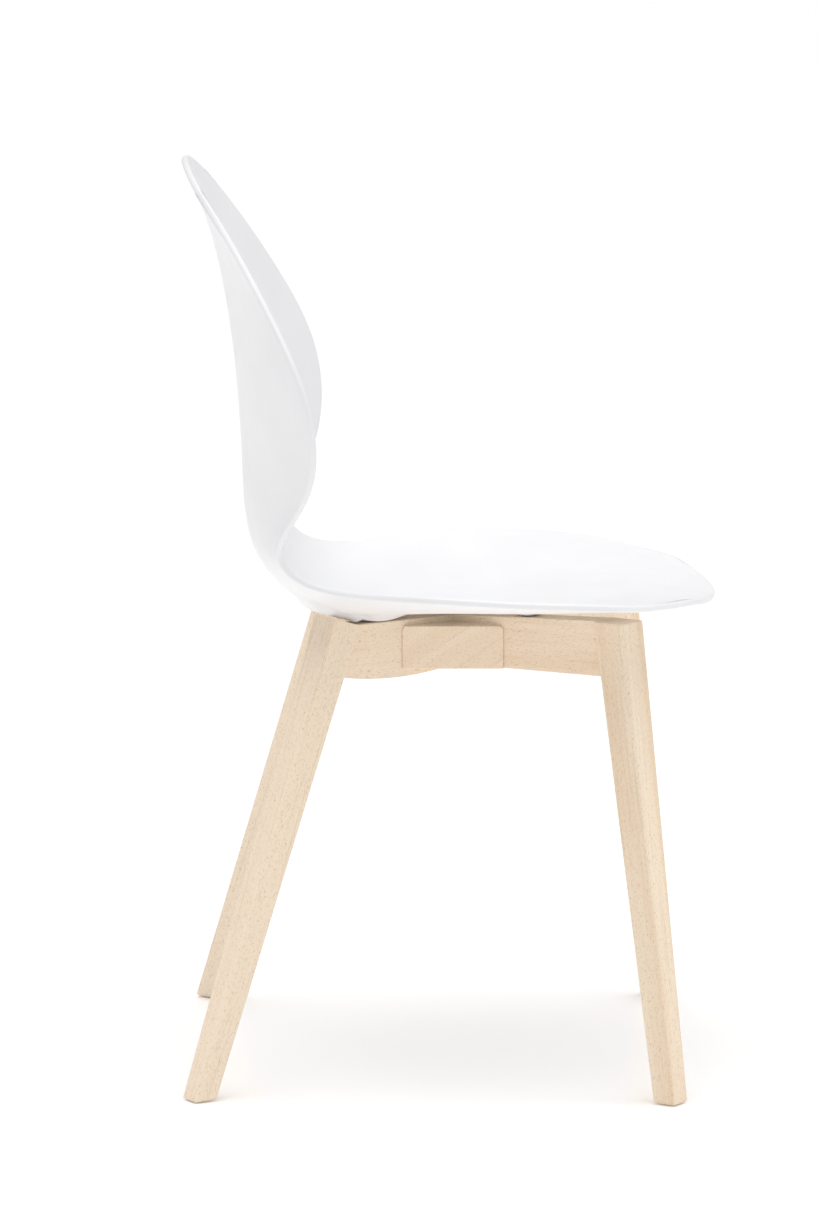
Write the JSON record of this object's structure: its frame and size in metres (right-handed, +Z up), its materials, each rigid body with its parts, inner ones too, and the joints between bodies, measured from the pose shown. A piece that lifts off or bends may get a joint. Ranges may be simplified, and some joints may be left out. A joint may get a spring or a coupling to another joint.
{
  "type": "dining chair",
  "caption": "Armless dining chair: a cupped plastic shell, narrow at the waist, screwed to crossing beech rails on splayed tapered beech legs.",
  "frame": {"origin": "on the floor, under the centre of the chair's box", "axes": "+Z up, the chair faces -Y, +X towards the sitter's left"},
  "size_m": [0.5122, 0.493, 0.8386],
  "materials": {
    "shell_plastic": "satin white moulded polypropylene",
    "beech": "matt, pale bleached beech",
    "pad_rubber": "matt black",
    "insert_brass": "turned",
    "screw_steel": "zinc plated",
    "glide_nylon": "matt off-white nylon"
  },
  "bodies": {
    "root": {"block_dowels": "beech", "front_left_glide": "glide_nylon", "front_left_leg": "beech", "front_left_spacer": "pad_rubber", "front_right_glide": "glide_nylon", "front_right_leg": "beech", "front_right_spacer": "pad_rubber", "glide_nails": "screw_steel", "left_front_cross_rail": "beech", "left_side_block": "beech", "leg_dowels": "beech", "rear_left_glide": "glide_nylon", "rear_left_leg": "beech", "rear_left_spacer": "pad_rubber", "rear_right_glide": "glide_nylon", "rear_right_leg": "beech", "rear_right_spacer": "pad_rubber", "right_front_cross_rail": "beech", "right_side_block": "beech", "seat_shell": "shell_plastic", "shell_inserts": "insert_brass", "shell_screws": "screw_steel", "shell_washers": "screw_steel"}
  },
  "joints": []
}
